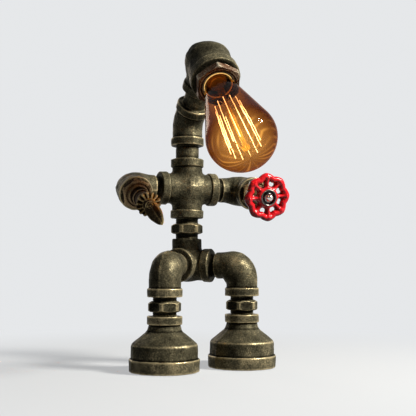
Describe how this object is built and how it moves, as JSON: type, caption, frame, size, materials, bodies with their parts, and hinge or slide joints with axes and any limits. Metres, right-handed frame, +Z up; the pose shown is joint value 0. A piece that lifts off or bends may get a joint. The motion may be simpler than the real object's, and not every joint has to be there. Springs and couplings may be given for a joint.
{
  "type": "robot shaped desk lamp",
  "caption": "Desk lamp in the shape of a small standing robot, built of threaded pipe fittings with a filament bulb for a face, a lever valve for one hand and a red handwheel for the other.",
  "frame": {"origin": "on the floor under the middle of the whole lamp's bounding box", "axes": "+Z up, -Y the way the robot faces, +X towards the robot's left side, which carries the red handwheel"},
  "size_m": [0.156, 0.1748, 0.3009],
  "materials": {
    "iron": "Sand-cast malleable iron in an aged bronze colour, speckled and brushed brighter on bands and edges",
    "brown_brass": "Turned brass gone reddish brown, brighter along its edges",
    "worn_brass": "Machined brass, dull and handled",
    "bright_brass": "Bright brass with a soft brushed finish",
    "steel": "Plain steel, turned and zinc plated",
    "rubber": "Black rubber, matte",
    "black_plastic": "Black moulded phenolic, satin",
    "porcelain": "Glazed off-white porcelain",
    "amber_glass": "Clear amber-tinted blown glass",
    "clear_glass": "Clear pressed glass",
    "filament": "Carbon filament with a warm sheen, unlit",
    "red_enamel": "Glossy red enamel over die-cast metal, thin on raised edges"
  },
  "bodies": {
    "stand": {"left_foot": "iron", "right_foot": "iron", "left_foot_plate": "steel", "right_foot_plate": "steel", "left_foot_pad": "rubber", "right_foot_pad": "rubber", "left_ankle_nipple": "iron", "right_ankle_nipple": "iron", "left_leg_elbow": "iron", "right_leg_elbow": "iron", "hip_elbow": "iron", "waist_nipple": "iron", "inlet_gland": "iron", "inlet_seal": "rubber", "inlet_nut": "iron", "terminal_block": "porcelain", "terminal_screws": "steel", "earth_screw": "bright_brass", "stand_cable": "rubber"},
    "torso": {"torso_cross": "iron", "neck_nipple": "iron", "torso_cable": "rubber"},
    "neck": {"neck_elbow": "iron", "neck_cable": "rubber", "head_nipple": "iron"},
    "head": {"head_elbow": "iron", "head_bushing": "brown_brass", "holder_cup": "porcelain", "holder_shell": "bright_brass", "holder_sleeve": "black_plastic", "holder_contact": "bright_brass", "holder_screws": "bright_brass", "head_cable": "rubber"},
    "bulb": {"bulb_glass": "amber_glass", "bulb_cap": "bright_brass", "bulb_insulator": "black_plastic", "bulb_contact": "steel", "bulb_stem": "clear_glass", "bulb_supports": "steel", "bulb_filament": "filament"},
    "left_arm": {"left_arm_elbow": "iron", "left_hand_bushing": "brown_brass", "valve_body": "brown_brass", "valve_gland_nut": "worn_brass"},
    "lever": {"valve_spindle": "steel", "lever_hub": "bright_brass", "lever_blade": "brown_brass", "lever_screw": "bright_brass"},
    "right_arm": {"right_arm_elbow": "iron", "right_hand_bushing": "brown_brass", "switch_housing": "worn_brass", "switch_core": "black_plastic", "switch_nut": "worn_brass", "arm_cable": "rubber"},
    "wheel": {"wheel_spindle": "steel", "handwheel": "red_enamel", "wheel_ring": "steel", "wheel_nut": "steel"}
  },
  "joints": [
    {"name": "waist_swivel", "type": "hinge", "parent": "stand", "child": "torso", "pos_m": [-0.00355, 0.07154, 0.1399], "axis": [0, 0, 1], "range_deg": [-45, 45]},
    {"name": "neck_swivel", "type": "hinge", "parent": "torso", "child": "neck", "pos_m": [-0.00355, 0.07154, 0.2104], "axis": [0, 0, 1], "range_deg": [-60, 60]},
    {"name": "head_turn", "type": "hinge", "parent": "neck", "child": "head", "pos_m": [-0.00097, 0.02239, 0.28202], "axis": [0.037, -0.7061, 0.7071], "range_deg": [-60, 60]},
    {"name": "bulb_release", "type": "slide", "parent": "head", "child": "bulb", "axis": [-0.0072, -0.6953, -0.7187], "range_m": [0, 0.03]},
    {"name": "left_shoulder", "type": "hinge", "parent": "torso", "child": "left_arm", "pos_m": [-0.06215, 0.07154, 0.1685], "axis": [1, 0, 0], "range_deg": [-45, 25]},
    {"name": "lever_turn", "type": "hinge", "parent": "left_arm", "child": "lever", "pos_m": [-0.06215, 0.07154, 0.1685], "axis": [0, -0.9511, -0.309], "range_deg": [0, 90]},
    {"name": "right_shoulder", "type": "hinge", "parent": "torso", "child": "right_arm", "pos_m": [0.05505, 0.07154, 0.1685], "axis": [1, 0, 0], "range_deg": [-45, 25]},
    {"name": "switch_turn", "type": "hinge", "parent": "right_arm", "child": "wheel", "pos_m": [0.05505, 0.07154, 0.1685], "axis": [0, -0.9833, -0.1822], "range_deg": [0, 270]}
  ]
}
